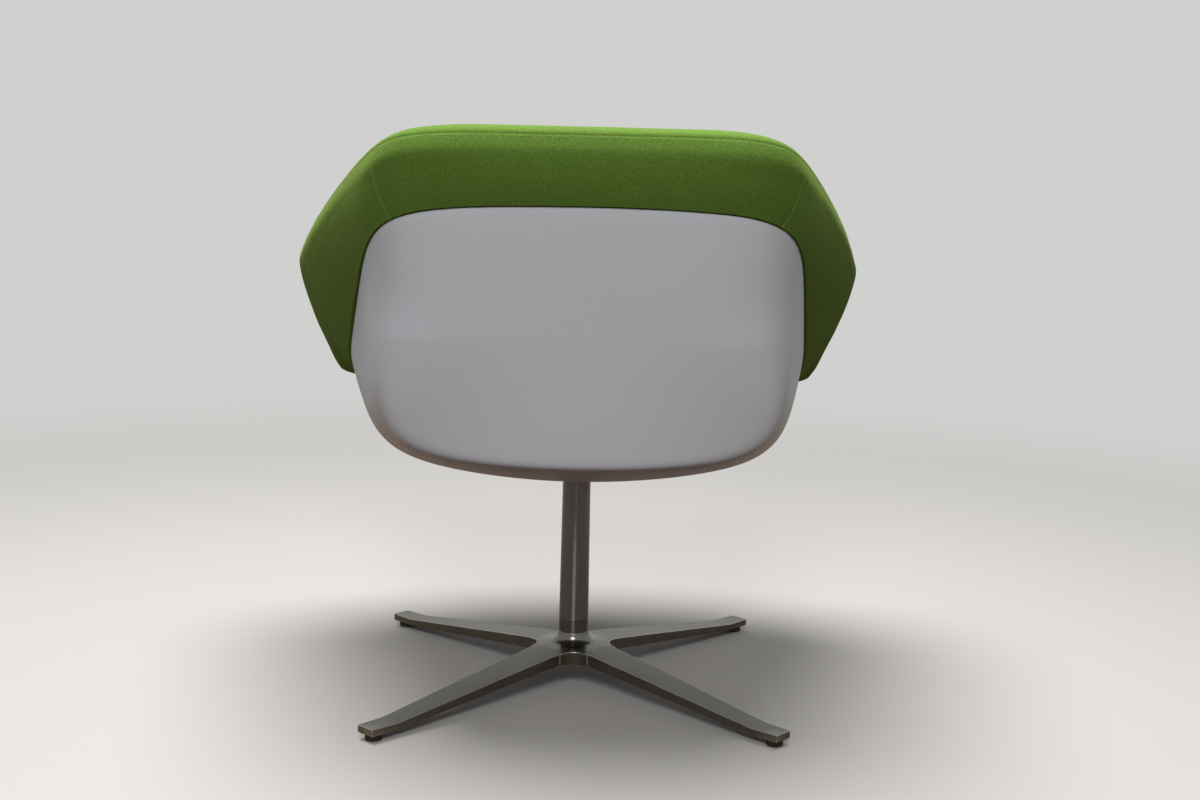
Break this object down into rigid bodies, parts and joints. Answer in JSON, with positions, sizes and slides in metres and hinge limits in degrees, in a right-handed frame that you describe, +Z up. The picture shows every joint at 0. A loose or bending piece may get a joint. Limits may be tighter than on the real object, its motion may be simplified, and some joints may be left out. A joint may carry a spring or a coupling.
{
  "type": "swivel armchair",
  "caption": "Low tub armchair: upholstered back, arms and seat in a hard outer shell, turning freely on a column with a star base.",
  "frame": {"origin": "on the floor, on the axis of the column", "axes": "+Z up, -Y the way the chair faces, +X to the sitter's left"},
  "size_m": [0.7686, 0.69, 0.7213],
  "materials": {
    "cast_aluminium": "satin, fine brushed",
    "dark_steel": "satin",
    "brushed_steel": "brushed along the tube",
    "zinc_steel": "bright zinc",
    "black_steel": "black powder coat",
    "spring_steel": "blackened",
    "bearing_steel": "polished",
    "cage_brass": "satin",
    "glide_plastic": "matt",
    "bush_plastic": "matt",
    "shell_plastic": "gloss",
    "pan_plywood": "moulded plywood",
    "padding_foam": "cut foam",
    "green_felt": "felted wool"
  },
  "bodies": {
    "base": {"star_base": "cast_aluminium", "base_ring": "dark_steel", "column_tube": "brushed_steel", "column_plug": "zinc_steel", "base_bolt": "zinc_steel", "base_washer": "zinc_steel", "glide_1": "glide_plastic", "glide_2": "glide_plastic", "glide_3": "glide_plastic", "glide_4": "glide_plastic", "lower_bush": "bush_plastic", "upper_bush": "bush_plastic", "bearing_lower_race": "bearing_steel"},
    "cage": {"bearing_cage": "cage_brass", "bearing_balls": "bearing_steel"},
    "seat": {"bearing_upper_race": "bearing_steel", "spindle": "zinc_steel", "circlip": "spring_steel", "seat_plate": "black_steel", "plate_bolts": "zinc_steel", "plate_washers": "zinc_steel", "tee_nuts": "zinc_steel", "shell_spacers": "zinc_steel", "shell_screws": "zinc_steel", "outer_shell": "shell_plastic", "inner_shell": "pan_plywood", "back_foam": "padding_foam", "left_arm_foam": "padding_foam", "right_arm_foam": "padding_foam", "seat_foam": "padding_foam", "back_cover": "green_felt", "left_arm_cover": "green_felt", "right_arm_cover": "green_felt", "seat_cover": "green_felt"}
  },
  "joints": [
    {"name": "seat_swivel", "type": "hinge", "parent": "base", "child": "seat", "pos_m": [0, 0, 0.2], "axis": [0, 0, 1], "continuous": true},
    {"name": "cage_spin", "type": "hinge", "parent": "base", "child": "cage", "pos_m": [0, 0, 0.0588], "axis": [0, 0, 1], "continuous": true}
  ],
  "couplings": [
    {"joint": "cage_spin", "follows": "seat_swivel", "ratio": 0.5}
  ]
}
